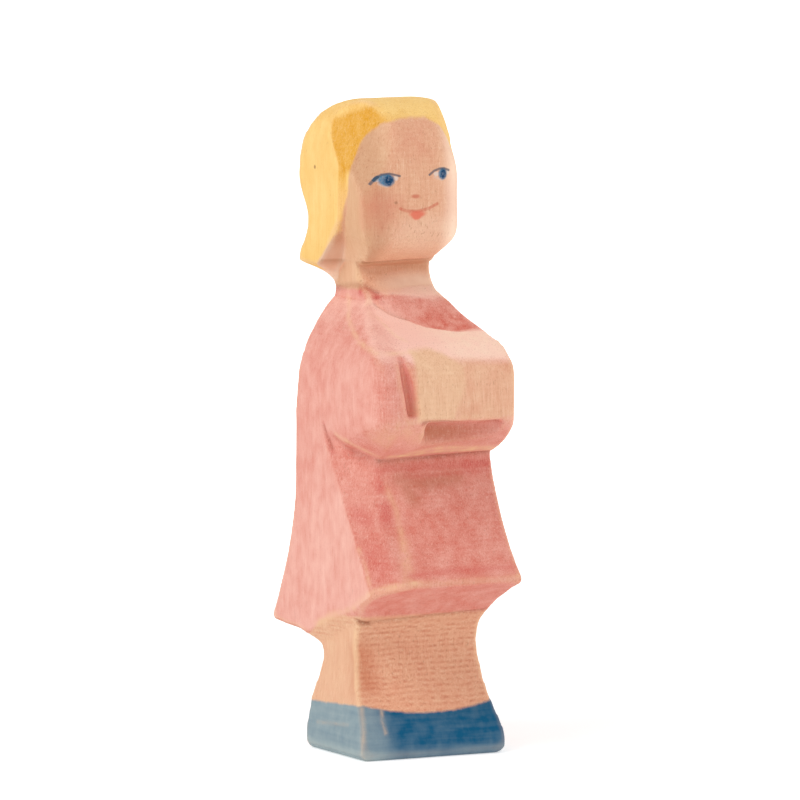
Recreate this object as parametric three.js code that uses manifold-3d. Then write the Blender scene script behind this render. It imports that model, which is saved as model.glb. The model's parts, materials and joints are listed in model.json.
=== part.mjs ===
// A carved wooden toy figure: one block of pale hardwood, sawn along its side
// outline, trimmed along its front outline, shaped with a knife and painted.
// Millimetres, +Z up. The figure looks towards -Y and its right hand is at -X.

import * as THREE from 'three';
import { mergeVertices } from 'three/addons/utils/BufferGeometryUtils.js';
import Module from 'manifold-3d';

const wasm = await Module();
wasm.setup();

// Heights of the stretches of the figure, from the table upwards
const legHeight = 20.1;
const skirtHeight = 32;
const armHeight = 19.6;
const shoulderRise = 8;
const neckLength = 5;
const headHeight = 28.75;

// Reach forwards of the middle plane
const toeFront = 13.4;
const ankleFront = 7.2;
const legFront = 6.2;
const hemFront = 20.4;
const hemRise = 11.2;
const waistFront = 8.3;
const armFront = 18.1;
const chestFront = 13.7;
const rampFront = 6.5;
const neckFront = -2.3;
const faceFront = 6.9;

// Reach backwards of the middle plane
const heelBack = 9;
const legBack = 6.2;
const hemBack = 23.1;
const hemLift = 0.9;
const spineBack = 13.8;
const napeBack = 11.3;
const hairBack = 17.5;
const hairWaistBack = 13.9;
const hairTipBack = 16.8;

// The plank's thickness, and how much the knife takes off each side of it
const plankThickness = 27.8;
const shoeTrim = 0.05;
const dressTrim = 0.4;
const legTrim = 2;
const neckTrim = 6.9;
const hairTrim = 2.9;
const templeTrim = 1.2;

// Knife work
const soleBevel = 0.8;
const hairEdge = -0.8;
const templeSlope = 1.7;
const faceSquareness = 0.82;
const chinCutAcross = 6.3;
const chinCutFront = 3;
const chinCutRise = 2.6;
const hemCutRise = 3.8;
const hemCutSlope = 0.33;
const hemCutLean = 0.5;
const shoulderCutBack = 4;
const leftShoulderTrim = 2.7;
const leftShoulderRise = 3.6;
const chestCreaseFront = 5;
const chestCreaseRise = 3.5;
const chestCutAcross = 7;
const chestCutDrop = 3.7;
const armpitLength = 10.8;
const armpitRise = 4.3;
const skirtCutFront = 0.8;
const skirtCutDrop = 2.4;
const browHalf = 5;
const browBack = 0.9;
const browDrop = 5;
const leftBrowTrim = 1.3;
const elbowRoundAcross = 4.4;
const elbowRoundBack = 7.7;
const elbowTrim = 0.7;
const elbowUnderTrim = 1.5;
const elbowUnderFront = 6;
const elbowUnderRise = 2;
const cuffWidth = 3.8;
const cuffDepth = 3.4;
const cuffLean = 10;
const cuffOffset = 7.4;
const handWidth = 9.8;
const fingertipWidth = 1.6;
const fingertipDepth = 0.9;
const coveDepth = 3.6;
const coveTurn = -7.5;
const coveHeight = 4.6;
const coveWidth = 16.6;
const coveTaper = 2.4;

// Paint films
const paintGap = 0.05;
const paintThickness = 0.2;
const bareRim = 0.6;
const shoeHeight = 9.2;
const shoeDip = 3.4;
const eyeSpacing = 10.7;
const eyeWidth = 4.4;
const eyeHeight = 2;
const mouthWidth = 6.4;
const mouthHeight = 1.5;
const featureSlant = 0.09;

// Half widths that follow from the plank
const plankHalf = plankThickness / 2;
const shoeHalf = plankHalf - shoeTrim;
const dressHalf = plankHalf - dressTrim;
const legHalf = plankHalf - legTrim;
const neckHalf = plankHalf - neckTrim;
const hairHalf = plankHalf - hairTrim;
const faceHalf = hairHalf - templeTrim;

// Levels that follow from the stretches
const hemLevel = legHeight;
const waistLevel = hemLevel + skirtHeight;
const armTopLevel = waistLevel + armHeight;
const neckLevel = armTopLevel + shoulderRise;
const chinLevel = neckLevel + neckLength;
const crownLevel = chinLevel + headHeight;
const mouthLevel = chinLevel + headHeight * 0.355;
const cheekLevel = chinLevel + headHeight * 0.52;
const eyeLevel = chinLevel + headHeight * 0.55;
const hairlineLevel = chinLevel + headHeight * 0.86;
const templeLevel = chinLevel + headHeight * 0.6;
const lobeLevel = chinLevel + headHeight * 0.3;
const handLevel = waistLevel + armHeight * 0.35;
const sleeveLevel = waistLevel + armHeight * 0.66;

const curveSteps = 7;
const reach = 4 * crownLevel;
const paintTop = paintGap + paintThickness;

// Views: where an outline's two axes and its sawing direction point
const sideView = new THREE.Matrix4().makeBasis(
  new THREE.Vector3(0, -1, 0), new THREE.Vector3(0, 0, 1), new THREE.Vector3(-1, 0, 0));
const frontView = new THREE.Matrix4().makeBasis(
  new THREE.Vector3(1, 0, 0), new THREE.Vector3(0, 0, 1), new THREE.Vector3(0, -1, 0));
// (from above, an outline runs towards the right hand and forwards)
const topView = new THREE.Matrix4().makeBasis(
  new THREE.Vector3(-1, 0, 0), new THREE.Vector3(0, -1, 0), new THREE.Vector3(0, 0, 1));

function solidFrom(geometry) {
  geometry.deleteAttribute('normal');
  geometry.deleteAttribute('uv');
  const merged = mergeVertices(geometry, 1e-5);
  return new wasm.Manifold(new wasm.Mesh({
    numProp: 3,
    vertProperties: new Float32Array(merged.attributes.position.array),
    triVerts: new Uint32Array(merged.index.array),
  }));
}

// Moves every side of a closed outline outwards by the same distance
function grown(outline, distance) {
  const points = outline.getPoints(curveSteps).filter(
    (point, i, all) => point.distanceTo(all[(i + 1) % all.length]) > 1e-4);
  const turn = THREE.ShapeUtils.isClockWise(points) ? -1 : 1;
  const sides = points.map((point, i) => {
    const along = points[(i + 1) % points.length].clone().sub(point).normalize();
    return new THREE.Vector2(along.y, -along.x).multiplyScalar(turn);
  });
  return new THREE.Shape(points.map((point, i) => {
    const before = sides[(i + sides.length - 1) % sides.length];
    const both = before.clone().add(sides[i]);
    return both.multiplyScalar(distance / (1 + before.dot(sides[i]))).add(point);
  }));
}

// Saws an outline straight through, from one depth to another
function sawn(outline, view, from = -reach, to = reach) {
  const geometry = new THREE.ExtrudeGeometry(outline, { depth: to - from, bevelEnabled: false });
  geometry.translate(0, 0, from);
  geometry.applyMatrix4(view);
  return solidFrom(geometry);
}

// Everything beyond a flat knife stroke that faces outwards
function beyondStroke(point, facing) {
  const outwards = facing.clone().normalize();
  const geometry = new THREE.BoxGeometry(reach, reach, reach);
  geometry.translate(0, 0, reach / 2);
  geometry.applyQuaternion(
    new THREE.Quaternion().setFromUnitVectors(new THREE.Vector3(0, 0, 1), outwards));
  geometry.translate(point.x, point.y, point.z);
  return solidFrom(geometry);
}

// A closed outline from one half and its mirror image, or from two different halves
function bothSides(half, otherHalf = half) {
  const other = otherHalf.getPoints(curveSteps).map((point) => new THREE.Vector2(-point.x, point.y));
  return new THREE.Shape([...half.getPoints(curveSteps), ...other.reverse()]);
}

// The line that the band saw follows, seen from the figure's right
function sideOutline() {
  const hemFrontLevel = hemLevel + hemRise;
  const legTop = hemLevel - 0.8;
  const waistCurl = waistLevel + armHeight * 0.35;
  const line = new THREE.Shape();
  line.moveTo(-heelBack, 0);
  line.lineTo(toeFront - soleBevel, 0);
  line.lineTo(toeFront, soleBevel * 1.5);
  line.bezierCurveTo(toeFront, shoeHeight * 0.7, ankleFront + 1.1, shoeHeight, ankleFront, legHeight * 0.72);
  line.quadraticCurveTo(legFront + 0.3, legHeight * 0.84, legFront, legTop);
  line.quadraticCurveTo(legFront + 0.6, hemLevel + 6, hemFront - 0.3, hemFrontLevel - 0.7);
  line.lineTo(hemFront, hemFrontLevel);
  line.quadraticCurveTo(waistFront + 3.6, hemLevel + skirtHeight * 0.6, waistFront, waistLevel);
  line.quadraticCurveTo(armFront - 2.7, waistLevel + 2.4, armFront, waistCurl);
  line.lineTo(armFront - 0.3, armTopLevel - armHeight * 0.32);
  line.quadraticCurveTo(armFront - 0.6, armTopLevel - armHeight * 0.13, chestFront, armTopLevel);
  line.lineTo(rampFront, armTopLevel + shoulderRise * 0.54);
  line.lineTo(neckFront + 3.3, neckLevel);
  line.quadraticCurveTo(neckFront + 0.6, neckLevel + 1.8, neckFront, chinLevel - 1);
  line.lineTo(neckFront, chinLevel);
  line.quadraticCurveTo(faceFront - 0.3, chinLevel + 1.6, faceFront, lobeLevel);
  line.lineTo(faceFront, cheekLevel);
  line.bezierCurveTo(faceFront, hairlineLevel, faceFront * 0.5, crownLevel, -hairBack * 0.25, crownLevel);
  line.bezierCurveTo(-hairBack * 0.55, crownLevel, -hairBack, hairlineLevel - 1.5, -hairBack, cheekLevel);
  line.bezierCurveTo(-hairBack, lobeLevel + 3,
    -hairWaistBack, lobeLevel + 1.6, -hairWaistBack, lobeLevel - 1.6);
  line.bezierCurveTo(-hairWaistBack, lobeLevel - 4, -hairTipBack, lobeLevel - 6, -hairTipBack, chinLevel);
  line.quadraticCurveTo(-napeBack - 0.8, chinLevel - 0.4, -napeBack, neckLevel + 1);
  line.quadraticCurveTo(-napeBack, armTopLevel, -spineBack, handLevel);
  line.lineTo(-spineBack, hemLevel + skirtHeight * 0.82);
  line.quadraticCurveTo(-spineBack - 0.4, hemLevel + skirtHeight * 0.5, -hemBack, hemLevel + 2 * hemLift);
  line.lineTo(-hemBack + 0.4, hemLevel + hemLift);
  line.lineTo(-legBack - 6, hemLevel + hemLift * 0.4);
  line.quadraticCurveTo(-legBack, hemLevel - 0.6, -legBack, legHeight * 0.8);
  line.quadraticCurveTo(-legBack - 0.3, legHeight * 0.7, -heelBack, legHeight * 0.46);
  return line;
}

// Half of the line that the front is trimmed to; the plank stays full below the hem
function frontHalf(addShoulder) {
  const half = new THREE.Path();
  half.moveTo(plankHalf, 0);
  half.lineTo(plankHalf, hemLevel - hemCutRise);
  half.lineTo(dressHalf, hemLevel - hemCutRise);
  addShoulder(half);
  half.lineTo(neckHalf, neckLevel + neckLength * 0.3);
  half.quadraticCurveTo(neckHalf + 0.6, chinLevel - 1.7, hairHalf + 0.3, chinLevel - 0.1);
  half.lineTo(hairHalf, lobeLevel);
  half.lineTo(hairHalf, hairlineLevel - 5);
  half.bezierCurveTo(hairHalf, crownLevel - 2, hairHalf * 0.75, crownLevel, hairHalf * 0.4, crownLevel);
  return half;
}

// The right shoulder slopes evenly, the left one is left squarer
function frontOutline() {
  const rightHalf = frontHalf((half) => {
    half.lineTo(dressHalf, sleeveLevel - 1.4);
    half.quadraticCurveTo(dressHalf + 0.2, armTopLevel + 0.1, neckHalf, neckLevel - 0.8);
  });
  const leftHalf = frontHalf((half) => {
    const bend = dressHalf - leftShoulderTrim;
    half.lineTo(dressHalf, armTopLevel - 2 * leftShoulderTrim);
    half.quadraticCurveTo(dressHalf - 0.6, armTopLevel + 2.4, bend, armTopLevel + leftShoulderRise);
    half.lineTo(neckHalf, neckLevel + 0.2);
  });
  return bothSides(leftHalf, rightHalf);
}

// The legs and shoes seen from the front
function legOutline() {
  const half = new THREE.Path();
  half.moveTo(shoeHalf - soleBevel, -reach / 2);
  half.lineTo(shoeHalf - soleBevel, 0);
  half.lineTo(shoeHalf, soleBevel * 1.5);
  half.lineTo(shoeHalf, shoeHeight * 0.4);
  half.quadraticCurveTo(legHalf + 0.9, shoeHeight * 0.8, legHalf, legHeight * 0.82);
  half.lineTo(legHalf, reach);
  return bothSides(half);
}

// The head seen from above: flat sides of hair, then a squarish face
function headPlan() {
  const half = new THREE.Path();
  const outside = hairHalf + 2;
  half.moveTo(outside, -reach / 2);
  half.lineTo(outside, hairEdge - (outside - faceHalf) * templeSlope);
  const cheek = hairEdge + 0.6;
  half.lineTo(faceHalf, cheek);
  half.bezierCurveTo(faceHalf, cheek + (faceFront - cheek) * faceSquareness,
    faceHalf * faceSquareness, faceFront, 0, faceFront);
  return bothSides(half);
}

// The jaw seen from the front
function jawOutline() {
  const half = new THREE.Path();
  half.moveTo(neckHalf, chinLevel - neckLength);
  half.lineTo(neckHalf, chinLevel);
  half.lineTo(faceHalf - 1, chinLevel + headHeight * 0.16);
  half.quadraticCurveTo(faceHalf, chinLevel + headHeight * 0.22, faceHalf, lobeLevel);
  half.lineTo(faceHalf, crownLevel);
  return bothSides(half);
}

// The cheek and the side of the neck, in front of the hair, seen from the side
function cheekArea() {
  const area = new THREE.Shape();
  area.moveTo(-napeBack + 1.4, neckLevel + neckLength * 0.3);
  area.lineTo(reach / 2, neckLevel + neckLength * 0.3);
  area.lineTo(reach / 2, lobeLevel + 0.4);
  area.lineTo(hairEdge - 0.8, lobeLevel + 0.4);
  area.quadraticCurveTo(hairEdge - 2, chinLevel + 4.4, -napeBack + 1.4, chinLevel - 0.9);
  return area;
}

// The jaw from the chin up to the cheeks, seen from the side
function jawArea() {
  const area = new THREE.Shape();
  area.moveTo(-napeBack, chinLevel);
  area.lineTo(reach / 2, chinLevel);
  area.lineTo(reach / 2, cheekLevel);
  area.lineTo(-napeBack, cheekLevel);
  return area;
}

// All below the arms, seen from the side: where the skirt's corners are trimmed
function skirtArea() {
  const area = new THREE.Shape();
  area.moveTo(-reach / 2, 0);
  area.lineTo(reach / 2, 0);
  area.lineTo(reach / 2, waistLevel);
  area.lineTo(waistFront, waistLevel);
  area.lineTo(waistFront - armpitLength, waistLevel + armpitRise);
  area.lineTo(-reach / 2, waistLevel + armpitRise);
  return area;
}

// The rounded outer corner of the right elbow, seen from above
function elbowWaste() {
  const outline = new THREE.Shape();
  const outside = dressHalf + elbowRoundAcross;
  const ahead = armFront + elbowRoundAcross;
  outline.moveTo(dressHalf, armFront - elbowRoundBack);
  outline.quadraticCurveTo(dressHalf, armFront, dressHalf - elbowRoundAcross, armFront);
  outline.lineTo(dressHalf - elbowRoundAcross, ahead);
  outline.lineTo(outside, ahead);
  outline.lineTo(outside, armFront - elbowRoundBack);
  return outline;
}

// The stretch of the arms, seen from the side
function armArea() {
  const area = new THREE.Shape();
  area.moveTo(-reach / 2, waistLevel);
  area.lineTo(reach / 2, waistLevel);
  area.lineTo(reach / 2, neckLevel);
  area.lineTo(-reach / 2, neckLevel);
  return area;
}

// All above the right armpit, seen from the side: where the elbow is rounded from below
function elbowArea() {
  const seam = 0.5;
  const area = new THREE.Shape();
  area.moveTo(waistFront - armpitLength, waistLevel + armpitRise - seam);
  area.lineTo(waistFront, waistLevel - seam);
  area.lineTo(reach / 2, waistLevel - seam);
  area.lineTo(reach / 2, neckLevel);
  area.lineTo(waistFront - armpitLength, neckLevel);
  return area;
}

// The hollow below the neck, seen from the side: a steep chest above a shelf of forearm
function chestSide() {
  const neckFoot = neckFront + 3.3;
  const outline = new THREE.Shape();
  outline.moveTo(neckFoot, neckLevel);
  outline.lineTo(chestCreaseFront, armTopLevel + chestCreaseRise);
  outline.lineTo(chestFront + 1, armTopLevel - 0.3);
  outline.lineTo(chestFront + 1, neckLevel + 0.5);
  outline.lineTo(neckFoot, neckLevel + 0.5);
  return outline;
}

// A notch in the front of the arms, seen from above
function notch(middle, width, depth) {
  const outline = new THREE.Shape();
  outline.moveTo(middle - width / 2, armFront + 1);
  outline.lineTo(middle - width * 0.1, armFront - depth);
  outline.lineTo(middle + width / 2, armFront + 1);
  return outline;
}

// The undercut below the hands, seen from the side: a step at the top, running out below
function coveSide() {
  const outline = new THREE.Shape();
  outline.moveTo(armFront - coveDepth, handLevel);
  outline.lineTo(armFront - coveDepth * 1.15, handLevel - coveHeight);
  outline.lineTo(armFront + coveDepth, handLevel - coveHeight);
  outline.lineTo(armFront + coveDepth, handLevel);
  return outline;
}

// The same undercut seen from the front: its ends slant
function coveFront() {
  const start = cuffWidth / 2 - cuffOffset + 0.8;
  const outline = new THREE.Shape();
  outline.moveTo(start, handLevel + coveTaper);
  outline.lineTo(start + coveTaper, handLevel - coveHeight - coveTaper);
  outline.lineTo(start + coveWidth - coveTaper, handLevel - coveHeight - coveTaper);
  outline.lineTo(start + coveWidth, handLevel + coveTaper);
  return outline;
}

// The whole carved figure, with every face moved outwards by a distance
function carved(grow) {
  const knife = [];
  const plan = grown(headPlan(), grow);
  const aroundHead = new THREE.Shape([
    new THREE.Vector2(-reach, -reach / 3), new THREE.Vector2(reach, -reach / 3),
    new THREE.Vector2(reach, reach), new THREE.Vector2(-reach, reach)]);
  knife.push(sawn(aroundHead, topView, chinLevel - 0.9, reach).subtract(sawn(plan, topView)));
  knife.push(sawn(grown(cheekArea(), -grow), sideView).subtract(sawn(grown(jawOutline(), grow), frontView)));

  const chinStroke = new THREE.Vector3(0.55, -0.35, -0.76).normalize();
  knife.push(beyondStroke(
    new THREE.Vector3(chinCutAcross, -chinCutFront, chinLevel + chinCutRise)
      .addScaledVector(chinStroke, grow), chinStroke)
    .intersect(sawn(grown(jawArea(), -grow), sideView)));

  const legs = sawn(grown(legOutline(), grow), frontView);
  for (const side of [-1, 1]) {
    const hemStroke = new THREE.Vector3(side, -hemCutLean * hemCutSlope, -hemCutLean).normalize();
    knife.push(beyondStroke(
      new THREE.Vector3(side * dressHalf, 0, hemLevel + hemCutRise).addScaledVector(hemStroke, grow),
      hemStroke).subtract(legs));
  }

  const skirt = sawn(grown(skirtArea(), -grow), sideView);
  const arms = sawn(grown(armArea(), -grow), sideView);
  const shoulder = new THREE.Vector3(-0.68, -0.06, 0.73).normalize();
  knife.push(beyondStroke(
    new THREE.Vector3(-neckHalf, shoulderCutBack, neckLevel).addScaledVector(shoulder, grow),
    shoulder).intersect(arms));
  const chestEdge = new THREE.Vector3(0.9, 0, 0.44).normalize();
  knife.push(beyondStroke(
    new THREE.Vector3(-chestCutAcross, 0, neckLevel - chestCutDrop).addScaledVector(chestEdge, grow),
    chestEdge).intersect(sawn(grown(chestSide(), -grow), sideView)));
  const stroke = new THREE.Vector3(-0.8, -0.49, 0.33).normalize();
  knife.push(beyondStroke(
    new THREE.Vector3(-dressHalf, -skirtCutFront, waistLevel - skirtCutDrop)
      .addScaledVector(stroke, grow), stroke).intersect(skirt));
  const brow = new THREE.Vector3(-browHalf, browBack - faceFront, hairlineLevel - browDrop);
  const head = sawn(aroundHead, topView, mouthLevel, reach);
  knife.push(beyondStroke(brow.clone().addScaledVector(stroke, grow), stroke).intersect(head));
  const leftStroke = stroke.clone().setX(-stroke.x);
  knife.push(beyondStroke(brow.clone().setX(browHalf).addScaledVector(leftStroke, grow + leftBrowTrim),
    leftStroke).intersect(head));
  knife.push(sawn(grown(elbowWaste(), -grow), topView).intersect(arms));
  const underElbow = new THREE.Vector3(-0.62, -0.25, -0.74).normalize();
  knife.push(beyondStroke(
    new THREE.Vector3(elbowUnderTrim - dressHalf, -elbowUnderFront, waistLevel + elbowUnderRise)
      .addScaledVector(underElbow, grow), underElbow)
    .intersect(sawn(grown(elbowArea(), grow), sideView)));
  const leftElbow = new THREE.Vector3(1, -1, 0).normalize();
  knife.push(beyondStroke(
    new THREE.Vector3(dressHalf, -armFront, handLevel)
      .addScaledVector(leftElbow, grow - elbowTrim), leftElbow).intersect(arms));

  const cuff = notch(0, cuffWidth, cuffDepth);
  knife.push(sawn(grown(cuff, -grow), topView, -armHeight * 0.27 + grow, armHeight)
    .rotate([0, -cuffLean, 0]).translate([-cuffOffset, 0, sleeveLevel]));
  const fingertips = notch(cuffOffset - cuffWidth / 2 - handWidth, fingertipWidth, fingertipDepth);
  knife.push(sawn(grown(fingertips, -grow), topView, handLevel + grow, reach));
  knife.push(sawn(grown(coveSide(), -grow), sideView).rotate([0, 0, coveTurn])
    .intersect(sawn(grown(coveFront(), -grow), frontView)));

  const blank = sawn(grown(sideOutline(), grow), sideView)
    .intersect(sawn(grown(frontOutline(), grow), frontView));
  return knife.reduce((figure, cut) => figure.subtract(cut), blank);
}

// Where the hair is painted: all behind the temples, and above the hairline
function hairZone() {
  const side = new THREE.Shape();
  side.moveTo(hairEdge, crownLevel + 2);
  side.lineTo(-reach / 2, crownLevel + 2);
  side.lineTo(-reach / 2, chinLevel - 1.4);
  side.lineTo(-napeBack + 1.4, chinLevel - 1.4);
  side.quadraticCurveTo(hairEdge - 2, chinLevel + 4.4, hairEdge - 0.8, lobeLevel);
  side.lineTo(hairEdge, templeLevel);
  const front = new THREE.Path();
  front.moveTo(0, hairlineLevel);
  front.quadraticCurveTo(faceHalf * 0.85, hairlineLevel, faceHalf, templeLevel + 1);
  front.lineTo(reach / 2, templeLevel + 1);
  front.lineTo(reach / 2, crownLevel + 2);
  front.lineTo(0, crownLevel + 2);
  return sawn(side, sideView).add(sawn(bothSides(front), frontView, hairEdge - 1, reach));
}

// Where the dress is painted: hem to neckline, all but the right hand
function dressZone() {
  const side = new THREE.Shape();
  side.moveTo(-reach / 2, hemLevel - 2);
  side.lineTo(-legBack - 1, hemLevel - 2);
  side.lineTo(legFront, hemLevel + 3.4);
  side.lineTo(reach / 2, hemLevel + 3.4);
  side.lineTo(reach / 2, neckLevel + 0.4);
  side.lineTo(-reach / 2, neckLevel + 1.4);
  const hand = new THREE.Shape();
  const start = cuffWidth / 2 - cuffOffset;
  hand.moveTo(start, handLevel);
  hand.lineTo(start + handWidth, handLevel);
  hand.lineTo(start + handWidth, armTopLevel - 1.4);
  hand.lineTo(start, armTopLevel - 1.4);
  return sawn(side, sideView).subtract(sawn(hand, frontView, waistFront, reach));
}

// Where the shoes are painted: above a bare rim, up to a line that dips in front
function shoeZone() {
  const front = new THREE.Shape();
  front.moveTo(-reach / 2, bareRim);
  front.lineTo(reach / 2, bareRim);
  front.lineTo(reach / 2, shoeHeight);
  front.lineTo(shoeHalf, shoeHeight);
  front.quadraticCurveTo(0, shoeHeight - shoeDip, -shoeHalf, shoeHeight);
  front.lineTo(-reach / 2, shoeHeight);
  return sawn(front, frontView);
}

// A brush stroke on the face: an ellipse that slants like the whole face
function strokeZone(across, level, width, height) {
  const ellipse = new THREE.Shape();
  ellipse.absellipse(across, level + across * featureSlant, width / 2, height / 2,
    0, 2 * Math.PI, false, featureSlant);
  return sawn(new THREE.Shape(ellipse.getPoints(curveSteps * 2)), frontView, 0, reach);
}

const wood = carved(0);
const film = carved(paintTop).subtract(carved(paintGap));

function paintOn(zone) {
  const pieces = film.intersect(zone).decompose();
  return pieces.reduce((most, piece) => (piece.volume() > most.volume() ? piece : most));
}

const figure = new THREE.Group();
figure.name = 'wooden_toy_figure';

function addPiece(name, solid, colour, roughness) {
  const mesh = solid.getMesh();
  const geometry = new THREE.BufferGeometry();
  geometry.setAttribute('position', new THREE.BufferAttribute(mesh.vertProperties, 3));
  geometry.setIndex(new THREE.BufferAttribute(mesh.triVerts, 1));
  geometry.computeVertexNormals();
  const material = new THREE.MeshStandardMaterial({
    color: colour, roughness, metalness: 0, flatShading: true });
  const piece = new THREE.Mesh(geometry, material);
  piece.name = name;
  figure.add(piece);
}

addPiece('carved_figure', wood, '#e8b996', 0.62);
addPiece('hair_paint', paintOn(hairZone()), '#f6c878', 0.6);
addPiece('dress_paint', paintOn(dressZone()), '#ee9d8c', 0.6);
addPiece('shoe_paint', paintOn(shoeZone()), '#5d7f92', 0.6);
addPiece('right_eye_paint',
  paintOn(strokeZone(-eyeSpacing / 2, eyeLevel, eyeWidth, eyeHeight)), '#546f7c', 0.5);
addPiece('left_eye_paint',
  paintOn(strokeZone(eyeSpacing / 2, eyeLevel, eyeWidth, eyeHeight)), '#546f7c', 0.5);
addPiece('mouth_paint', paintOn(strokeZone(0, mouthLevel, mouthWidth, mouthHeight)), '#d9705a', 0.5);

// The part's own origin is the middle of its footprint
const box = new THREE.Box3().setFromObject(figure);
const middle = box.getCenter(new THREE.Vector3());
for (const piece of figure.children) {
  piece.geometry.translate(-middle.x, -middle.y, -box.min.z);
}

export default figure;
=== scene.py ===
# %% [markdown]
# # A carved and painted wooden figure
# The real toy is one block of pale hardwood. A band saw cut its side outline,
# a knife took off the corners, and thin paint was brushed on and rubbed, so the
# grain and the saw marks still show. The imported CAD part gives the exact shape.
# This lesson turns that shape into a surface that looks carved, then paints it.

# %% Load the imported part
import json
import math

import bmesh
import bpy
import numpy as np
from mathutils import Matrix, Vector, noise

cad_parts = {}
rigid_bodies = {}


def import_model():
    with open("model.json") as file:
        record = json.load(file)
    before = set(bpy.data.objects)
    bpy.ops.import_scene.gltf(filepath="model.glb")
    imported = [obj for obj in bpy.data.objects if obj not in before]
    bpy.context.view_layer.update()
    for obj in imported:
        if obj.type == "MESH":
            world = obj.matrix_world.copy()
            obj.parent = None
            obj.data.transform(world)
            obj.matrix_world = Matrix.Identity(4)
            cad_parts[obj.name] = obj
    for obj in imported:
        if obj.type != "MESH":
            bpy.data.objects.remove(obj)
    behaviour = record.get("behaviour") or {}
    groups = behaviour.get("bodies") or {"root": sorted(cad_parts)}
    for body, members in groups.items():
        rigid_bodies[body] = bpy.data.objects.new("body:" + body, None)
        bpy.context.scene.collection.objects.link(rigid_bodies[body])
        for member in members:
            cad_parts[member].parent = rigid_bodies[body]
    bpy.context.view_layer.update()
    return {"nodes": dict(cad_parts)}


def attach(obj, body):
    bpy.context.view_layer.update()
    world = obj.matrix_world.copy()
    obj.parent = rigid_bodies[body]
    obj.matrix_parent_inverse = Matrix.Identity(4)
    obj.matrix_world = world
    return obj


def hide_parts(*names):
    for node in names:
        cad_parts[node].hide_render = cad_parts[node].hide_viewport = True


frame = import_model()
MM = 0.001
print("parts:", sorted(frame["nodes"]))

# %% [markdown]
# ## Camera
# The figure was photographed from its right front, from a little above its
# middle and from far away with a long lens, so upright edges stay upright.
# A camera can be placed by hand or by angles. Angles are easier to check, so
# the camera is put at a distance along a direction and pointed at one place.

# %% Camera at the photograph's angle
VIEW_AZIMUTH, VIEW_ELEVATION = -27.0, 5.7
VIEW_DISTANCE = 1.500
PIXELS_PER_MM = 5.75
PICTURE_WIDTH = 800
SPINE_OFFSET = 1.35
AIM_HEIGHT = 61.1
aim = Vector((0.0, -SPINE_OFFSET * MM, AIM_HEIGHT * MM))
stage = bpy.context.scene.collection.objects


def direction(azimuth, elevation):
    """Towards a place around the figure: azimuth 0 is straight ahead of its face."""
    turn, rise = math.radians(azimuth), math.radians(elevation)
    return Vector((math.sin(turn) * math.cos(rise), -math.cos(turn) * math.cos(rise), math.sin(rise)))


def aimed(name, data, azimuth, elevation, distance):
    """A camera or lamp that looks at the middle of the figure."""
    towards = direction(azimuth, elevation)
    thing = bpy.data.objects.new(name, data)
    thing.location = aim + towards * distance
    thing.rotation_euler = towards.to_track_quat("Z", "Y").to_euler()
    stage.link(thing)
    return thing


lens = bpy.data.cameras.new("camera")
lens.sensor_width = 36.0
lens.lens = lens.sensor_width * PIXELS_PER_MM * VIEW_DISTANCE / MM / PICTURE_WIDTH
bpy.context.scene.camera = aimed("camera", lens, VIEW_AZIMUTH, VIEW_ELEVATION, VIEW_DISTANCE)
bpy.context.scene.view_settings.view_transform = "Standard"
print("lens %.0f mm" % lens.lens)

# %% [markdown]
# ## Shaping the wood
# A CAD solid has perfect planes and knife-sharp edges. Real carved edges are
# a little rounded by sanding and handling. A bevel modifier needs clean edges,
# which a cut solid doesn't have. A voxel remesh gives an even skin of small
# faces instead, on which sanding can be worked out point by point.

# %% An even skin over the carved solid
SKIN_FACE = 0.4 * MM
SAME_POINT = 0.001 * MM


def wooden_skin(node):
    solid = bmesh.new()
    solid.from_mesh(node.data)
    bmesh.ops.remove_doubles(solid, verts=solid.verts, dist=SAME_POINT)
    mesh = bpy.data.meshes.new("painted_figure")
    solid.to_mesh(mesh)
    solid.free()
    mesh.materials.clear()
    piece = bpy.data.objects.new("painted_figure", mesh)
    stage.link(piece)
    skin = piece.modifiers.new("skin", "REMESH")
    skin.mode = "VOXEL"
    skin.voxel_size = SKIN_FACE
    graph = bpy.context.evaluated_depsgraph_get()
    piece.data = bpy.data.meshes.new_from_object(piece.evaluated_get(graph))
    piece.modifiers.clear()
    return piece


figure = wooden_skin(frame["nodes"]["carved_figure"])
print("skin: %d faces" % len(figure.data.polygons))

# %% [markdown]
# ## Sanding
# Sandpaper takes off what stands out. Moving every point half way to the middle
# of its neighbours, round after round, does the same. Every edge gets a few
# rounds. The face, the right sleeve, the chest and the corner of the skirt were
# rounded more on the real figure, so they get many more.

# %% Sand all edges, and some places more
SANDING_ROUNDS = 5
SANDING_STEP = 0.5
ROUNDING_ROUNDS = 44


def read(values, field, width=3):
    flat = np.empty(len(values) * width, np.float32)
    values.foreach_get(field, flat)
    return flat.reshape(-1, width).astype(float)


pairs = np.array([edge.vertices[:] for edge in figure.data.edges])
starts, ends = np.concatenate([pairs, pairs[:, ::-1]]).T
neighbours = np.bincount(starts)


def sanded(points, rounds, share=1.0):
    for _ in range(rounds):
        middle = np.stack([np.bincount(starts, points[ends, axis]) for axis in range(3)], 1)
        points = points + (middle / neighbours[:, None] - points) * SANDING_STEP * share
    return points


def axes_of(points):
    """Millimetres across (to the figure's left), forwards of its middle, and up."""
    return points[:, 0] / MM, -points[:, 1] / MM - SPINE_OFFSET, points[:, 2] / MM


def band(values, low, high, blur):
    """1 from low to high, fading to 0 within the blur outside them."""
    return np.clip(np.minimum(values - low, high - values) / blur + 1, 0, 1)


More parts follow.
